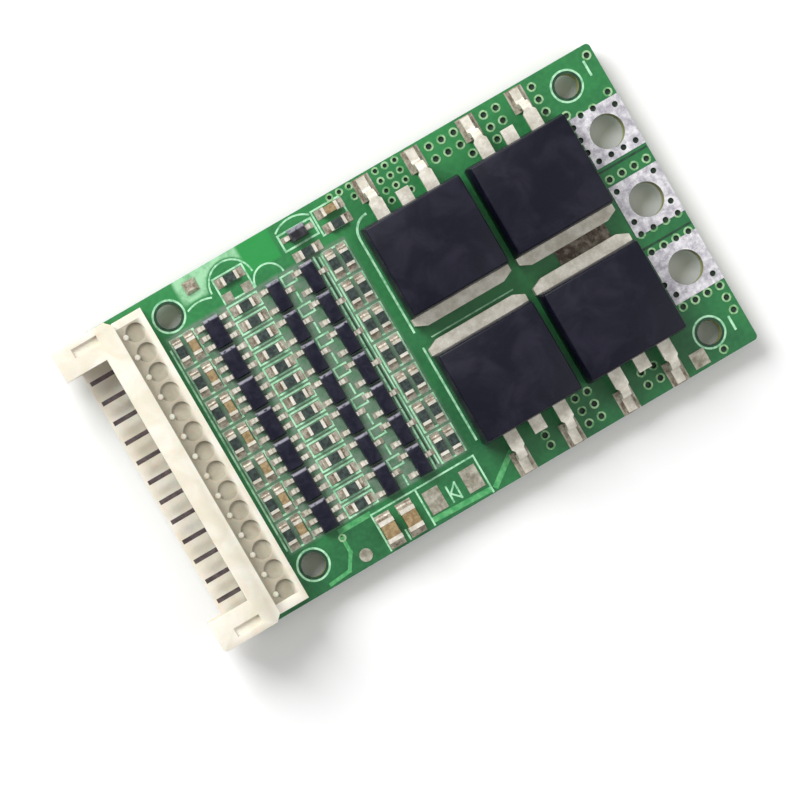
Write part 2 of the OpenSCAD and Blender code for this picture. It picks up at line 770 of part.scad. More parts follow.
// Solder that fills each header hole and stands as a cone round the tail
module header_solder() {
    color("silver") each_pin() difference() {
        union() {
            translate([0, 0, -board_t]) cylinder(h = board_t, d = pin_hole_d);
            translate([0, 0, -board_t - cone_h])
                cylinder(h = cone_h, r1 = 0.75 * pin_t, r2 = 0.85 * pin_hole_d);
        }
        contact_shape();
    }
}

// The nodes

circuit_board();
power_land(0);  // upper_power_land
power_land(1);  // middle_power_land
power_land(2);  // lower_power_land
tinned_pads();
header_housing();
header_contacts();
header_solder();
lead_solder();
chip_solder();
for (k = [1:4]) {
    fet_body(k);
    fet_drain_tab(k);
    fet_outer_lead(k, 1);
    fet_outer_lead(k, -1);
}
for (i = [1:rows]) {
    monitor_chip(i);
    monitor_leads(i);
}
sot_bodies(switch_s);  // switch_transistor_bodies
sot_leads(switch_s);  // switch_transistor_leads
sot_bodies(sense_s);  // sense_transistor_bodies
sot_leads(sense_s);  // sense_transistor_leads
color("slategray") each_supply() chip_core(resistor, 0);  // supply_resistor_bodies
color("silver") each_supply() chip_terminals(resistor, 0, small_band);  // supply_resistor_terminals
color("peru") each_filter() chip_core(capacitor, plate_t);  // filter_capacitor_bodies
color("silver") each_filter() chip_terminals(capacitor, plate_t, small_band);  // filter_capacitor_terminals
color("slategray") each_bleed() chip_core(resistor, 0);  // bleed_resistor_bodies
color("silver") each_bleed() chip_terminals(resistor, 0, small_band);  // bleed_resistor_terminals
color("slategray") each_gate() chip_core(resistor, 0);  // gate_resistor_bodies
color("silver") each_gate() chip_terminals(resistor, 0, small_band);  // gate_resistor_terminals
color("slategray") each_trim() chip_core(resistor, 0);  // trim_resistor_bodies
color("silver") each_trim() chip_terminals(resistor, 0, small_band);  // trim_resistor_terminals
color("peru") each_bulk() chip_core(bulk, plate_t);  // bulk_capacitor_bodies
color("silver") each_bulk() chip_terminals(bulk, plate_t, bulk_band);  // bulk_capacitor_terminals
clamp_diode_body();
color("silver") place_diode() diode_lead_set();  // clamp_diode_leads
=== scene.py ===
import json
import math

import bmesh
import bpy
from mathutils import Matrix, Vector


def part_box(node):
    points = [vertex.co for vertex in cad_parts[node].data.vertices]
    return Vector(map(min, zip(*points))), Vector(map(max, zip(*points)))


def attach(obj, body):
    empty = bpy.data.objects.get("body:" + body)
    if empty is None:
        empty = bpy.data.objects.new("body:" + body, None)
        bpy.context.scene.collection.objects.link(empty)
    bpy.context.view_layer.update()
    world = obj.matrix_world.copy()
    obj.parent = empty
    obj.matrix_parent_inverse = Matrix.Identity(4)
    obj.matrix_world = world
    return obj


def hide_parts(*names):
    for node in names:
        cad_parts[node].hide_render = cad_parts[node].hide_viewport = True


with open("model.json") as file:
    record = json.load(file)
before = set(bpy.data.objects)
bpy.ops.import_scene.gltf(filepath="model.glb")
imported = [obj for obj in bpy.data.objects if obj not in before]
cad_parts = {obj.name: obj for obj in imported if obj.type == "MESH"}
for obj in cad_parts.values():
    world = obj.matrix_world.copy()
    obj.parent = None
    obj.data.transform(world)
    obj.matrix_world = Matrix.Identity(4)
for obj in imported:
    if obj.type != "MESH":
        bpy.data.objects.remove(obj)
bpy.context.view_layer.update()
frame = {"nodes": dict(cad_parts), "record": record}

nodes = frame["nodes"]
mm = 0.001
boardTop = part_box("circuit_board")[1].z
chips = sorted(name for name in nodes if name.startswith("monitor_chip_"))
rowMiddles = [(low.y + high.y) / 2 for low, high in map(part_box, chips)]
rowStep = rowMiddles[0] - rowMiddles[1]


class Sock:  # one socket of a material's tree, so that its maths reads as an expression
    def __init__(self, tree, out):
        self.tree = tree
        self.out = out

    def add(self, kind, settings=None, out=0, **sockets):  # s0, s1 and so on are sockets by their number
        node = self.tree.nodes.new("ShaderNode" + kind)
        for key, value in (settings or {}).items():
            setattr(node, key, value)
        for key, value in sockets.items():
            target = node.inputs[int(key[1:]) if key[1:].isdigit() else key.replace("_", " ")]
            if isinstance(value, Sock):
                self.tree.links.new(value.out, target)
            else:
                target.default_value = (*value, 1) if target.type == "RGBA" else value
        return Sock(self.tree, node.outputs[out])

    def maths(self, operation, other=0.0, clamp=False):
        return self.add("Math", {"operation": operation, "use_clamp": clamp}, s0=self, s1=other)

    def __add__(self, other):
        return self.maths("ADD", other)

    def __mul__(self, other):
        return self.maths("MULTIPLY", other)

    def __sub__(self, other):
        return self.maths("SUBTRACT", other)

    def __rsub__(self, other):
        return self.add("Math", {"operation": "SUBTRACT"}, s0=other, s1=self)

    def __gt__(self, other):
        return self.maths("GREATER_THAN", other)

    def __lt__(self, other):
        return self.maths("LESS_THAN", other)

    __radd__ = __add__
    __rmul__ = __mul__

    def high(self, other):  # the larger of the two
        return self.maths("MAXIMUM", other)

    def size(self):  # without its sign
        return self.maths("ABSOLUTE")

    def ease(self, start, end):  # 0 before start, 1 after end, smooth between
        return self.add("MapRange", {"interpolation_type": "SMOOTHSTEP"}, s0=self, s1=start, s2=end)

    def blend(self, first, second):  # this mask chooses between two colours
        return self.add("Mix", {"data_type": "RGBA"}, 2, s0=self, s6=first, s7=second)

    def noise(self, scale, detail=2.0, rough=0.5, distortion=0.0):  # scale is in waves per millimetre
        return self.add("TexNoise", Vector=self, Scale=scale / mm, Detail=detail, Roughness=rough,
                        Distortion=distortion)

    def split(self):
        node = self.add("SeparateXYZ", Vector=self).out.node
        return [Sock(self.tree, out) for out in node.outputs]


def srgb(*levels):  # a colour as the eye sees it, 0 to 255, in the numbers that shaders work in
    return tuple(((v / 255 + 0.055) / 1.055) ** 2.4 if v > 10 else v / 255 / 12.92 for v in levels)


class Finish:  # a material with its shader, and the place on the piece to build patterns from
    def __init__(self, name, **fixed):
        self.material = bpy.data.materials.new(name)
        self.material.use_nodes = True
        self.tree = self.material.node_tree
        self.shader = self.tree.nodes["Principled BSDF"]
        for key, value in fixed.items():
            socket = self.shader.inputs[key.replace("_", " ")]
            if socket.type == "RGBA":
                self.material.diffuse_color = (*value, 1)
            socket.default_value = (*value, 1) if socket.type == "RGBA" else value
        self.place = Sock(self.tree, self.tree.nodes.new("ShaderNodeTexCoord").outputs["Object"])
        self.facing = Sock(self.tree, self.tree.nodes.new("ShaderNodeNewGeometry").outputs["Normal"])

    def vary(self, **values):
        for key, value in values.items():
            self.tree.links.new(value.out, self.shader.inputs[key.replace("_", " ")])

    def zone(self, area, soft=0.15):  # 1 in a rectangle of the board, in millimetres, 0 from soft outside it
        x0, x1, y0, y1 = area
        x, y = self.place.split()[:2]
        across = x.ease((x0 - soft) * mm, x0 * mm) * (1 - x.ease(x1 * mm, (x1 + soft) * mm))
        return across * y.ease((y0 - soft) * mm, y0 * mm) * (1 - y.ease(y1 * mm, (y1 + soft) * mm))

    def relief(self, height, depth, strength=1.0):  # depth in millimetres
        bump = height.add("Bump", Strength=strength, Distance=depth * mm, Height=height)
        self.tree.links.new(bump.out, self.shader.inputs["Normal"])


domeLook = {
    "outlines": (  # x, y and radius, then the directions that are cut off
        (-17.6, 9.6, 3.0, (-90, 205, -25)),
        (-14.15, 12.5, 2.15, (-90,)),
        (-11.1, 11.1, 1.5, (-90,)),
        (-6.95, 12.2, 2.8, (-90, -40, 220))),
    "kept": 2,  # the first ones keep the mask's green inside
    "fade": 0.25,
}

maskLook = {
    "deep": srgb(18, 90, 48),
    "bright": srgb(38, 130, 66),
    "fresh": srgb(28, 138, 62),
    "haze": srgb(104, 126, 108),
    # painted highlight: this mint colour and its area below paint glare along the upper edge
    "glareMint": srgb(150, 204, 160),
    "freshArea": (-12.4, -9.3, 12.5, 15.1),
    "hazeArea": (-21.6, -3.7, -10.7, 10.9),
    "glareMintArea": (-18.6, -12.7, 13.0, 15.2),
    "litEdgeRamp": (-15, 15),  # painted light: the green grows paler from the lower long edge to the upper one, where the key light comes from
    "gloss": 0.34,
    "skin": 0.01,
    "edgeSkin": 0.05,
    "weave": 0.21,
    "resin": srgb(128, 132, 76),
    "glass": srgb(168, 170, 104),
}


def solderMask():
    f = Finish("solderMask", Base_Color=maskLook["bright"], IOR=1.5, Coat_Weight=0.25, Coat_Roughness=0.15)
    x, y, z = f.place.split()
    patches = f.place.noise(0.22, 3.0, 0.55).ease(0.35, 0.68)
    grain = f.place.noise(2.4).ease(0.3, 0.75)
    # painted light: the green is paler towards the upper long edge
    start, end = maskLook["litEdgeRamp"]
    litEdgeRamp = y.ease(start * mm, end * mm)
    shade = (patches * 0.4 + grain * 0.2 + litEdgeRamp * 0.4).maths("ADD", clamp=True)
    green = shade.blend(maskLook["deep"], maskLook["bright"])
    top = z > (boardTop - maskLook["skin"] * mm)
    green = (f.zone(maskLook["freshArea"], 0.3) * top).blend(green, maskLook["fresh"])
    # a grey-green haze over the chip rows, mottled
    hazeMottle = f.place.noise(1.3, 4.0, 0.7).ease(0.3, 0.62)
    haze = f.zone(maskLook["hazeArea"], 0.4) * top * (0.35 + hazeMottle * 0.65)
    green = haze.blend(green, maskLook["haze"])
    # painted highlight: a pale mint patch of glare along the upper edge, mottled, left out inside the first
    # domes
    blotches = f.place.noise(0.8, 3.0, 0.6).ease(0.35, 0.6)
    glareMint = f.zone(maskLook["glareMintArea"], 0.5) * top * (0.45 + blotches * 0.55)
    for centre, middle, radius, cuts in domeLook["outlines"][:domeLook["kept"]]:
        dx, dy = x - centre * mm, y - middle * mm
        outer = radius + domeLook["fade"]
        glareMint = glareMint * (dx * dx + dy * dy).ease((radius * mm) ** 2, (outer * mm) ** 2)
    green = glareMint.blend(green, maskLook["glareMint"])
    skin = maskLook["edgeSkin"] * mm
    cutEdge = (f.facing.split()[2].size() < 0.5) * (z < (boardTop - skin)) * (z > skin)
    weave = (z * (1 / (maskLook["weave"] * mm))).maths("SINE").ease(-0.5, 0.9)
    core = weave.blend(maskLook["resin"], maskLook["glass"])
    rough = maskLook["gloss"] + grain * 0.12 + cutEdge * 0.35
    f.vary(Base_Color=cutEdge.blend(green, core), Roughness=rough)
    f.relief(f.place.noise(1.1, 3.0), 0.02, 0.5)
    return f.material


def tinFinish(name, dull, bright, scale, rough, metal):
    f = Finish(name, Base_Color=bright, Metallic=metal, Roughness=rough)
    cloud = f.place.noise(0.9 * scale, 4.0, 0.6).ease(0.3, 0.7)
    fleck = f.place.noise(5.0 * scale, 3.0, 0.7).ease(0.45, 0.75)
    f.vary(Base_Color=(cloud * 0.7 + fleck * 0.3).blend(dull, bright), Roughness=rough + fleck * 0.2)
    f.relief(f.place.noise(1.7 * scale, 3.0, 0.6), 0.05, 0.6)
    return f.material


mouldLook = {
    "transistor": (srgb(12, 12, 28), srgb(36, 35, 50)),
    "chip": (srgb(20, 20, 36), srgb(40, 40, 56)),
    "diode": (srgb(36, 36, 40), srgb(84, 80, 88)),
    # painted highlight: the colour of the chip ends that face the key light
    "litEnd": srgb(166, 164, 176),
    "litEndSpan": (0.345, 0.41, 0.5),  # in row steps: where the painted highlight on the end starts, is full and stops
}


def mouldedBlack(name, colours, rough, cloudScale, litEnd=0.0):
    body, pale = colours
    f = Finish(name, Base_Color=body, Roughness=rough, IOR=1.5, Specular_IOR_Level=0.22)
    cloud = f.place.noise(cloudScale, 4.0, 0.6, 0.6).ease(0.38, 0.72)
    grain = f.place.noise(14.0, 2.0, 0.6)
    colour = (cloud * 0.55 + grain.ease(0.5, 0.8) * 0.2).blend(body, pale)
    if litEnd:  # painted highlight: the end that faces the upper long edge, where the key light comes from, is painted paler, and so are faces turned that way
        along = (f.place.split()[1] * (1 / rowStep)).maths("FRACT")
        start, full, stop = mouldLook["litEndSpan"]
        end = along.ease(start, full) * (along < stop) * f.place.noise(2.5).ease(0.3, 0.55)
        end = end.high(f.facing.split()[1].ease(0.25, 0.8)) * litEnd
        colour = end.blend(colour, mouldLook["litEnd"])
    f.vary(Base_Color=colour, Roughness=rough + cloud * 0.1 - grain * 0.08)
    f.relief(grain, 0.02, 0.4)
    return f.material


plasticLook = {
    "pale": srgb(230, 226, 214),
    "deep": srgb(218, 211, 192),
    # painted shade for the low ledge over the contacts, and darker still for its pockets
    "ledge": srgb(146, 138, 116),
    "pocket": srgb(126, 118, 96),
    "ledgeStart": (-25.85, -25.05),  # x where the ledge's shade sets in, and where it is full
    "ledgeEnd": (-23.35, -22.75),
    "ledgeReach": 13.9,
    "ledgeTop": 4.85,
    "pocketTop": 4.6,
    "pocketFloor": 3.6,
}


def creamPlastic():
    f = Finish("creamPlastic", Base_Color=plasticLook["pale"], Roughness=0.42, Subsurface_Weight=0.25,
               Subsurface_Scale=0.8 * mm, IOR=1.5, Specular_IOR_Level=0.35)
    x, y, z = f.place.split()
    flow = f.place.noise(0.35, 3.0, 0.5, 0.8).ease(0.3, 0.72)
    speck = f.place.noise(7.0).ease(0.4, 0.8)
    colour = flow.blend(plasticLook["deep"], plasticLook["pale"])
    # painted shade: the low ledge over the contacts is painted darker, and its pockets darker still
    (in0, in1), (out0, out1) = plasticLook["ledgeStart"], plasticLook["ledgeEnd"]
    across = x.ease(in0 * mm, in1 * mm) * (1 - x.ease(out0 * mm, out1 * mm))
    ledge = across * (z < plasticLook["ledgeTop"] * mm) * (y.size() < plasticLook["ledgeReach"] * mm)
    colour = (ledge * (0.55 + flow * 0.3)).blend(colour, plasticLook["ledge"])
    pocket = ledge * (z < plasticLook["pocketTop"] * mm) * (z > plasticLook["pocketFloor"] * mm)
    colour = (pocket * (0.1 + flow * 0.25)).blend(colour, plasticLook["pocket"])
    f.vary(Base_Color=colour, Roughness=0.38 + speck * 0.12)
    f.relief(speck, 0.012, 0.5)
    return f.material


def firedCeramic(name, dark, pale, rough):
    f = Finish(name, Base_Color=pale, Roughness=rough)
    mottle = f.place.noise(3.0, 4.0, 0.65).ease(0.35, 0.7)
    f.vary(Base_Color=mottle.blend(dark, pale), Roughness=rough + mottle * 0.15)
    f.relief(f.place.noise(9.0), 0.01, 0.5)
    return f.material


padLook = {
    "plain": srgb(190, 184, 168),
    "dull": srgb(140, 134, 116),
    "bright": srgb(206, 202, 186),
    "flux": srgb(74, 58, 48),
    "fluxArea": (4.0, 17.5, -1.6, 1.3),
}


def fluxedTin():  # the pads, with a strip between the drain tabs that flux has browned
    f = Finish("padTin", Base_Color=padLook["plain"], Metallic=0.6, Roughness=0.4)
    cloud = f.place.noise(1.4, 4.0, 0.65).ease(0.3, 0.7)
    stain = f.zone(padLook["fluxArea"]) * (0.55 + f.place.noise(0.9, 3.0, 0.7).ease(0.35, 0.6) * 0.45)
    colour = stain.blend(cloud.blend(padLook["dull"], padLook["bright"]), padLook["flux"])
    f.vary(Base_Color=colour, Metallic=0.6 - stain * 0.5, Roughness=0.34 + stain * 0.25)
    f.relief(f.place.noise(2.6, 3.0, 0.6), 0.04, 0.6)
    return f.material


finishes = {
    "solder_mask": solderMask(),
    "tinned_copper": tinFinish("tinnedCopper", dull=srgb(160, 156, 166), bright=srgb(244, 242, 244),
                               scale=1.6, rough=0.42, metal=0.2),
    "solder": tinFinish("solderShine", dull=srgb(118, 100, 84), bright=srgb(226, 218, 200),
                        scale=1.6, rough=0.34, metal=0.4),
    "plated_leads": tinFinish("platedLeads", dull=srgb(196, 190, 174), bright=srgb(244, 240, 228),
                              scale=0.8, rough=0.38, metal=0.35),
    # painted shade: the pins are coloured dark grey-brown for the shade and dark reflections they show
    # inside the housing
    "header_pins": tinFinish("shadedHeaderPins", dull=srgb(62, 52, 54), bright=srgb(104, 92, 92),
                             scale=1.5, rough=0.45, metal=0.4),
    "transistor_moulding": mouldedBlack("transistorMoulding", mouldLook["transistor"],
                                        rough=0.42, cloudScale=0.3),
    "chip_moulding": mouldedBlack("chipMoulding", mouldLook["chip"],
                                  rough=0.34, cloudScale=1.1, litEnd=0.8),
    "diode_moulding": mouldedBlack("diodeMoulding", mouldLook["diode"],
                                   rough=0.36, cloudScale=1.2, litEnd=0.7),
    "header_plastic": creamPlastic(),
    "resistor_ceramic": firedCeramic("resistorGlaze",
                                     dark=srgb(34, 44, 42), pale=srgb(62, 76, 72), rough=0.28),
    "capacitor_ceramic": firedCeramic("capacitorCeramic",
                                      dark=srgb(128, 104, 70), pale=srgb(164, 142, 102), rough=0.4),
}
padFinish = fluxedTin()
for part in frame["record"]["subparts"]:
    mesh = nodes[part["node"]].data
    mesh.materials.clear()
    mesh.materials.append(padFinish if part["node"] == "tinned_pads" else finishes[part["material_slot"]])
print("finishes:", len(finishes))


def fresh():  # nothing selected, so that an operator acts on the new mesh alone
    bpy.ops.object.select_all(action="DESELECT")


def wake(piece):
    fresh()
    piece.select_set(True)
    bpy.context.view_layer.objects.active = piece
    return piece


def settle(piece):  # its place goes into its mesh
    wake(piece)
    bpy.ops.object.transform_apply(location=True, rotation=True, scale=True)
    return piece


def applied(piece, kind, **settings):  # one modifier, put on and applied
    wake(piece)
    modifier = piece.modifiers.new(kind, kind)
    for key, value in settings.items():
        setattr(modifier, key, value)
    bpy.ops.object.modifier_apply(modifier=modifier.name)
    return piece


def joined(pieces, name):
    fresh()
    for piece in pieces:
        piece.select_set(True)
    bpy.context.view_layer.objects.active = pieces[0]
    bpy.ops.object.join()
    pieces[0].name = name
    pieces[0].data.name = name
    return pieces[0]


def copied(piece, x=0.0, y=0.0, z=0.0):
    other = piece.copy()
    other.data = piece.data.copy()
    other.data.transform(Matrix.Translation((x, y, z)))
    bpy.context.collection.objects.link(other)
    return other


def welded(piece, flat=0):  # merges a CAD node's loose triangles, and drops edges under flat degrees
    wake(piece)
    bpy.ops.object.mode_set(mode="EDIT")
    bpy.ops.mesh.select_all(action="SELECT")
    bpy.ops.mesh.remove_doubles(threshold=0.002 * mm)
    if flat:
        bpy.ops.mesh.dissolve_limited(angle_limit=math.radians(flat))
    bpy.ops.object.mode_set(mode="OBJECT")
    return piece


def dress(piece, slot, material, *replaced):
    piece.data.materials.clear()
    piece.data.materials.append(material)
    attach(piece, "root")
    if replaced:
        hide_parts(*replaced)
    return piece


edgeLook = {
    "transistor": {"width": 0.16, "segments": 3},
    "chip": {"width": 0.07, "segments": 2},
    "header": {"width": 0.1, "segments": 2},
    "flat": 1,  # degrees: edges flatter than this are taken out, and those over sharp are rounded
    "sharp": 25,
    "smooth": 40,
}


def softened(node, name, look, slot):  # the node's own shape with its edges rounded off
    piece = welded(copied(nodes[node]), edgeLook["flat"])
    applied(piece, "BEVEL", width=look["width"] * mm, segments=look["segments"], limit_method="ANGLE",
            angle_limit=math.radians(edgeLook["sharp"]))
    bpy.ops.object.shade_smooth_by_angle(angle=math.radians(edgeLook["smooth"]))
    piece.name = name
    piece.data.name = name
    return dress(piece, slot, finishes[slot], node)


transistors = sorted(name for name in nodes if name.startswith("power_fet_") and name.endswith("_body"))
for number, node in enumerate(transistors, 1):
    softened(node, f"transistor_moulding_{number}", edgeLook["transistor"], "transistor_moulding")
for number, node in enumerate(chips, 1):
    softened(node, f"monitor_moulding_{number}", edgeLook["chip"], "chip_moulding")
softened("switch_transistor_bodies", "switch_mouldings", edgeLook["chip"], "chip_moulding")
softened("sense_transistor_bodies", "sense_mouldings", edgeLook["chip"], "chip_moulding")
softened("header_housing", "header_moulding", edgeLook["header"], "header_plastic")
print("moulded edges are rounded")

holeLook = {
    "skin": 0.01,
    "outOfRound": 0.05,
    "largest": 3,
    "via": 0.3,  # the largest radius of a via
    "mounting": (1, 1.3),  # radii between which a hole is a mounting hole
}


def drilledHoles():  # centre and radius of each hole, from the rims that the board's top face has
    board = welded(copied(nodes["circuit_board"]))
    mesh = board.data
    walls = {}
    for face in mesh.polygons:
        if abs(face.normal.z) < 0.5:
            for a, b in face.edge_keys:
                lower = min(mesh.vertices[a].co.z, mesh.vertices[b].co.z)
                if lower > boardTop - holeLook["skin"] * mm:
                    walls.setdefault(a, set()).add(b)
                    walls.setdefault(b, set()).add(a)
    found = []
    while walls:
        ring, queue = set(), [next(iter(walls))]
        while queue:
            corner = queue.pop()
            if corner not in ring:
                ring.add(corner)
                queue += walls.pop(corner, ())
        places = [mesh.vertices[v].co for v in ring]
        centre = sum(places, Vector()) / len(places)
        reach = [(place - centre).length for place in places]
        isRound = max(reach) - min(reach) < holeLook["outOfRound"] * mm
        if isRound and max(reach) < holeLook["largest"] * mm:
            found.append((centre.x, centre.y, max(reach)))
    bpy.data.objects.remove(board)
    return sorted(found)


holes = drilledHoles()
vias = [hole for hole in holes if hole[2] < holeLook["via"] * mm]
least, most = holeLook["mounting"]
mountings = [hole for hole in holes if least * mm < hole[2] < most * mm]
print("holes:", len(holes), "vias:", len(vias), "mounting holes:", len(mountings))

viaLook = {
    "sides": 14,
    "rim": 0.17,
    "thick": 0.035,
    "lap": 0.99,  # the rim's bore as a share of the hole, so that no gap shows
    "sunk": 0.12,
    "dish": 0.3,  # the plug's sloping border as a share of its radius
    "dishDepth": 0.06,
    "rimPlain": srgb(120, 176, 120),
    "rimWorn": srgb(88, 150, 92),
    "rimBright": srgb(170, 206, 160),
    # painted shade: near-black plug colours for the shade seen down the via holes
    "shadePlugPlain": srgb(12, 40, 28),
    "shadePlugDark": srgb(8, 26, 20),
    "shadePlugPale": srgb(20, 58, 36),
}


def viaRim():
    f = Finish("viaRim", Base_Color=viaLook["rimPlain"], Roughness=0.4)
    blotches = f.place.noise(2.2, 3.0, 0.6).ease(0.35, 0.65)
    f.vary(Base_Color=blotches.blend(viaLook["rimWorn"], viaLook["rimBright"]), Metallic=blotches * 0.3)
    return f.material


# painted shade: dark plugs fill the via holes, standing in for the shade seen down them
def viaShadePlug():
    f = Finish("viaShadePlug", Base_Color=viaLook["shadePlugPlain"], Roughness=0.5)
    f.vary(Base_Color=f.place.noise(2.0).ease(0.3, 0.7).blend(viaLook["shadePlugDark"], viaLook["shadePlugPale"]))
    return f.material


def flatRing(x, y, z, inner, outer, sides):  # a washer of no thickness
    fresh()
    bpy.ops.mesh.primitive_circle_add(vertices=sides, radius=outer, fill_type="NGON", location=(x, y, z))
    ring = settle(bpy.context.object)
    bpy.ops.object.mode_set(mode="EDIT")
    bpy.ops.mesh.select_all(action="SELECT")
    bpy.ops.mesh.inset(thickness=(outer - inner) * math.cos(math.pi / sides))
    bpy.ops.mesh.delete(type="FACE")
    bpy.ops.object.mode_set(mode="OBJECT")
    return ring


def rimPattern(radius):
    outer = radius + viaLook["rim"] * mm
    rim = flatRing(0, 0, 0, radius * viaLook["lap"], outer, viaLook["sides"])
    return applied(rim, "SOLIDIFY", thickness=viaLook["thick"] * mm, offset=1)


def plugPattern(radius):  # a short bar inside the hole, dished at both ends
    fresh()
    depth = boardTop - viaLook["sunk"] * 2 * mm
    bpy.ops.mesh.primitive_cylinder_add(vertices=viaLook["sides"], radius=radius, depth=depth,
                                        location=(0, 0, boardTop / 2))
    plug = settle(bpy.context.object)
    bpy.ops.object.mode_set(mode="EDIT")
    bpy.ops.mesh.select_mode(type="FACE")
    for up in (1, -1):
        bpy.ops.mesh.select_all(action="DESELECT")
        shape = bmesh.from_edit_mesh(plug.data)
        for face in shape.faces:
            face.select = face.normal.z * up > 0.9
        bmesh.update_edit_mesh(plug.data)
        bpy.ops.mesh.inset(thickness=radius * viaLook["dish"], depth=-viaLook["dishDepth"] * mm)
    bpy.ops.object.mode_set(mode="OBJECT")
    return plug


def makeVias():
    rims, plugs, patterns = [], [], {}
    for x, y, radius in vias:
        size = round(radius / mm, 2)
        if size not in patterns:
            patterns[size] = rimPattern(radius), plugPattern(radius)
        rim, plug = patterns[size]
        rims += [copied(rim, x, y, boardTop), copied(rim, x, y, -viaLook["thick"] * mm)]
        plugs.append(copied(plug, x, y))
    for pattern in patterns.values():
        for piece in pattern:
            bpy.data.objects.remove(piece)
    dress(joined(rims, "via_rims"), "solder_mask", viaRim())
    dress(joined(plugs, "via_shade_plugs"), "solder_mask", viaShadePlug())


makeVias()

inkLook = {
    "line": 0.17,
    "thick": 0.02,
    "lift": 0.0003,
    "plain": srgb(160, 216, 176),
    "worn": srgb(104, 170, 124),
    "bright": srgb(172, 222, 184),
}


def printInk():
    f = Finish("printInk", Base_Color=inkLook["plain"], Roughness=0.55)
    blotches = f.place.noise(1.6, 3.0, 0.65).ease(0.28, 0.62)
    f.vary(Base_Color=blotches.blend(inkLook["worn"], inkLook["bright"]))
    return f.material


def inkFrame(x0, x1, y0, y1, line=inkLook["line"]):  # the outline of a box
    fresh()
    bpy.ops.mesh.primitive_plane_add(size=1, location=((x0 + x1) / 2 * mm, (y0 + y1) / 2 * mm, boardTop))
    box = bpy.context.object
    box.scale = (abs(x1 - x0) * mm, abs(y1 - y0) * mm, 1)
    settle(box)
    bpy.ops.object.mode_set(mode="EDIT")
    bpy.ops.mesh.select_all(action="SELECT")
    bpy.ops.mesh.inset(thickness=line * mm)
    bpy.ops.mesh.delete(type="FACE")
    bpy.ops.object.mode_set(mode="OBJECT")
    return box


def inkBar(x0, y0, x1, y1, line=inkLook["line"]):  # a straight line with square ends
    fresh()
    along = Vector((x1 - x0, y1 - y0))
    bpy.ops.mesh.primitive_plane_add(size=1, location=((x0 + x1) / 2 * mm, (y0 + y1) / 2 * mm, boardTop),
                                     rotation=(0, 0, math.atan2(along.y, along.x)))
    bar = bpy.context.object
    bar.scale = ((along.length + line) * mm, line * mm, 1)
    return settle(bar)


def inkArc(x, y, radius, cuts=(), line=inkLook["line"]):  # each cut keeps the side it points away from
    ring = flatRing(x * mm, y * mm, boardTop, (radius - line) * mm, radius * mm, 48)
    wake(ring)
    bpy.ops.object.mode_set(mode="EDIT")
    for cut in cuts:
        bpy.ops.mesh.select_all(action="SELECT")
        angle = math.radians(cut)
        bpy.ops.mesh.bisect(plane_co=(x * mm, y * mm, boardTop),
                            plane_no=(math.cos(angle), math.sin(angle), 0), clear_outer=True)
    bpy.ops.object.mode_set(mode="OBJECT")
    return ring


def inEachRow(piece):  # the same print again, beside every chip row
    return applied(piece, "ARRAY", count=len(chips), use_relative_offset=False, use_constant_offset=True,
                   constant_offset_displace=(0, -rowStep, 0))


def layer(strokes, name, height, material):  # crossing strokes lie on each other, not in one plane
    for i, stroke in enumerate(strokes):
        stroke.data.transform(Matrix.Translation((0, 0, i * inkLook["lift"] * mm)))
    piece = applied(joined(strokes, name), "SOLIDIFY", thickness=height * mm, offset=1)
    dress(piece, "solder_mask", material)


printLook = {  # x and y in millimetres, and the line's width last where it isn't the usual one
    "rowGap": 0.13,
    "rowBoxes": ((-21.65, -19.15), (-6.15, -3.6)),
    "rowBar": -6.8,
    "halfBox": (-10.35, -8.95, 0.35),  # from x to x, and up from so far above the row's middle
    "stem": (-9.65, 0.5),  # down from so far below it
    "pairBoxes": (-15.75, -12.65),
    "pairGap": 0.09,
    "rails": ((-21.9, 1, 0.5, 0.17), (-6.35, 0.4, 0.4, 0.12)),  # x, short of the rows' upper and lower ends
    "mountingRing": (1.54, 0.19),
    "upperBoxes": ((-8.75, -5.2, 12.35, 14.1, 0.19), (-5.1, -2.05, 11.95, 14.5),
                   (-15.7, -12.55, 11.05, 13.65)),
    "bulkCapacitors": ((-13.9, -11.5, -13.9, -15.1), (-9.4, -11.5, -9.4, -15.1),
                       (-11.9, -14.2, -11.9, -15.1), (-9.4, -11.5, -3.4, -11.5),
                       (-3.4, -11.5, -3.4, -15.2), (-13.9, -11.5, -9.4, -11.5)),
    "emptyPlace": ((-6.9, -12.7, -6.9, -14.2), (-6.05, -12.7, -6.05, -14.2),
                   (-6.8, -13.45, -6.05, -12.7), (-6.8, -13.45, -6.05, -14.2)),
    "betweenTransistors": (-1.2, -0.55, 7.1, -0.55, 0.14),
    "transistorArc": (-0.75, 10.2, 1.75, (-90, 0), 0.22),
    "besideTransistors": ((-2.4, 10.2, -2.4, 0.6, 0.2), (-2.4, -1.1, -2.4, -10.4, 0.2)),
    "landBars": ((22.9, 12.5, 22.9, 13.8, 0.22), (22.7, -12.4, 22.7, -13.6, 0.22)),  # no lettering
}


def printRows():
    look = printLook
    first, step = rowMiddles[0] / mm, rowStep / mm
    half, quarter = step / 2 - look["rowGap"], step / 4 - look["pairGap"]
    rows = [inkFrame(x0, x1, first - half, first + half) for x0, x1 in look["rowBoxes"]]
    rows.append(inkBar(look["rowBar"], first + half, look["rowBar"], first - half))
    x0, x1, above = look["halfBox"]
    rows.append(inkFrame(x0, x1, first + above, first + half))
    x, below = look["stem"]
    rows.append(inkBar(x, first - below, x, first - half))
    for y in (first + step / 4, first - step / 4):
        rows.append(inkFrame(*look["pairBoxes"], y - quarter, y + quarter))
    top, bottom = first + step / 2, rowMiddles[-1] / mm - step / 2
    rails = [inkBar(x, top - down, x, bottom + up, line) for x, down, up, line in look["rails"]]
    return [inEachRow(row) for row in rows] + rails


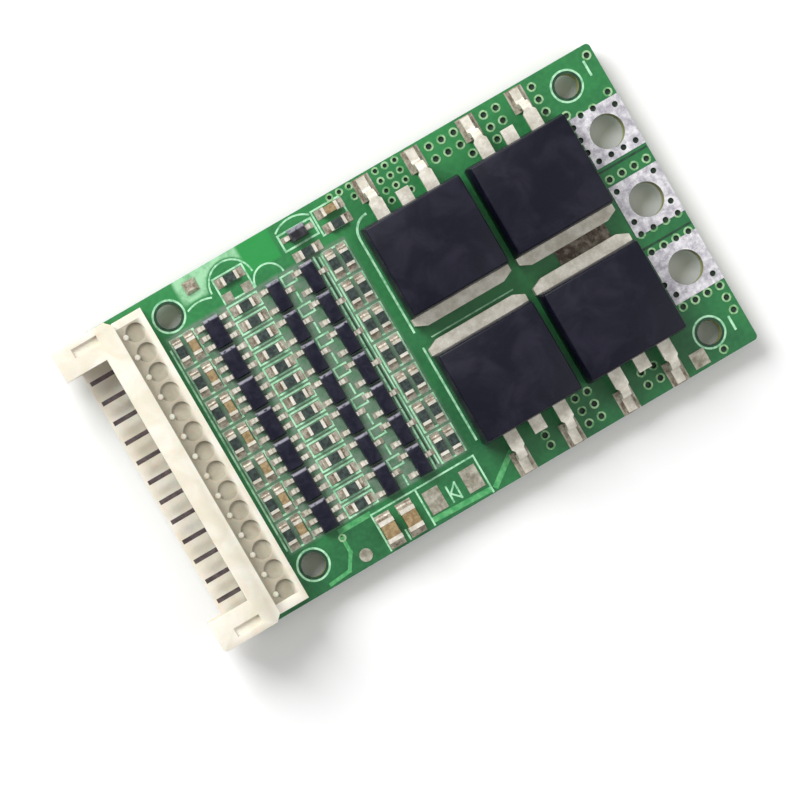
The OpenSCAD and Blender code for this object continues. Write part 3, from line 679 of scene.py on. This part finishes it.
def printBoard():
    look = printLook
    ink = printRows()
    radius, line = look["mountingRing"]
    ink += [inkArc(hole[0] / mm, hole[1] / mm, radius, line=line) for hole in mountings]
    ink += [inkFrame(*box) for box in look["upperBoxes"]]
    ink += [inkArc(*dome) for dome in domeLook["outlines"]]
    ink += [inkBar(*bar) for bar in look["bulkCapacitors"] + look["emptyPlace"]]
    ink += [inkBar(*look["betweenTransistors"]), inkArc(*look["transistorArc"])]
    ink += [inkBar(*bar) for bar in look["besideTransistors"] + look["landBars"]]
    layer(ink, "printed_lines", inkLook["thick"], printInk())


printBoard()

lineLook = {
    "copper": {
        "line": 0.34,
        "wide": 0.51,
        "thick": 0.012,
        "colours": (srgb(52, 140, 78), srgb(92, 172, 108)),
        "trace": ((-17.1, -12.0), (-17.1, -13.4), (-18.0, -14.8), (-20.0, -15.0)),
        "strips": ((-16.9, -11.35, -14.1, -11.35), (-9.2, -14.7, -3.7, -14.9), (-2.9, -14.85, -0.4, -13.0)),
    },
    "laminate": {
        "thick": 0.008,
        "colours": (srgb(8, 44, 26), srgb(22, 74, 44)),
        "gaps": ((18.9, 4.5, 23.9, 4.5, 0.22), (18.9, -3.35, 23.9, -3.35, 0.22),
                 (-6.6, 10.6, -6.6, -10.4, 0.16)),
        "ring": 0.26,
        "sides": 40,
    },
}


def flatMask(name, dark, pale):  # mask over bare laminate or over a copper line
    f = Finish(name, Base_Color=pale, Roughness=0.4, Coat_Weight=0.2)
    f.vary(Base_Color=f.place.noise(1.8, 3.0).ease(0.3, 0.7).blend(dark, pale))
    return f.material


def layMaskLines():
    look = lineLook["copper"]
    strips = [inkBar(*a, *b, look["line"]) for a, b in zip(look["trace"], look["trace"][1:])]
    strips += [inkBar(*ends, look["wide"]) for ends in look["strips"]]
    layer(strips, "copper_lines", look["thick"], flatMask("copper_lines", *look["colours"]))
    look = lineLook["laminate"]
    bare = [inkBar(*gap) for gap in look["gaps"]]
    for x, y, radius in mountings:
        bare.append(flatRing(x, y, boardTop, radius, radius + look["ring"] * mm, look["sides"]))
    layer(bare, "bare_laminate", look["thick"], flatMask("bare_laminate", *look["colours"]))


layMaskLines()
print("vias and print are on the board")

cameraLook = {
    "place": (-32.119, 5.515, 341.6),
    "turn": 30.06,
    "tilt": (-0.7835, -4.5247, -0.1837),  # degrees about x, y and z, as one rotation
    "lens": 172.928,
    "sensor": 36,
    "nearest": 10,
}


def aimCamera():
    a = math.radians(cameraLook["turn"])
    base = Matrix(((math.cos(a), -math.sin(a), 0), (-math.sin(a), -math.cos(a), 0), (0, 0, -1)))
    axis = Vector([math.radians(v) for v in cameraLook["tilt"]])
    rows = Matrix.Rotation(axis.length, 3, axis.normalized()) @ base
    turned = Matrix((rows[0], -rows[1], -rows[2])).transposed()
    camera = bpy.data.cameras.new("camera")
    camera.lens = cameraLook["lens"]
    camera.sensor_width = cameraLook["sensor"]
    camera.clip_start = cameraLook["nearest"] * mm
    obj = bpy.data.objects.new("camera", camera)
    bpy.context.collection.objects.link(obj)
    obj.matrix_world = Matrix.LocRotScale(Vector(cameraLook["place"]) * mm, turned.to_quaternion(), None)
    bpy.context.scene.camera = obj


aimCamera()

lightLook = {
    "key": {"place": (-120, 300, 300), "size": 260, "power": 2.2},
    "fill": {"place": (240, -150, 300), "size": 320, "power": 0.45},
    "world": 0.45,
}


def addSoftbox(name, place, size, power):
    light = bpy.data.lights.new(name, "AREA")
    light.size = size * mm
    light.energy = power
    obj = bpy.data.objects.new(name, light)
    bpy.context.collection.objects.link(obj)
    obj.location = Vector(place) * mm
    obj.rotation_euler = (-obj.location).to_track_quat("-Z", "Y").to_euler()


def setWorld():
    world = bpy.data.worlds.new("studio")
    world.use_nodes = True
    background = world.node_tree.nodes["Background"]
    background.inputs["Color"].default_value = (1, 1, 1, 1)
    background.inputs["Strength"].default_value = lightLook["world"]
    bpy.context.scene.world = world
    bpy.context.scene.view_settings.view_transform = "Standard"


addSoftbox("key", **lightLook["key"])
addSoftbox("fill", **lightLook["fill"])
setWorld()

floorLook = {"size": 3000, "plain": (0.86,) * 3, "grey": (0.84,) * 3, "pale": (0.88,) * 3}


def layFloor():
    fresh()
    lowest = min(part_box(name)[0].z for name in nodes)
    bpy.ops.mesh.primitive_plane_add(size=floorLook["size"] * mm, location=(0, 0, lowest))
    floor = settle(bpy.context.object)
    floor.name = "floor"
    f = Finish("floorWhite", Base_Color=floorLook["plain"], Roughness=0.9)
    f.vary(Base_Color=f.place.noise(0.01).blend(floorLook["grey"], floorLook["pale"]))
    floor.data.materials.append(f.material)


layFloor()
print("camera, light and floor are set")
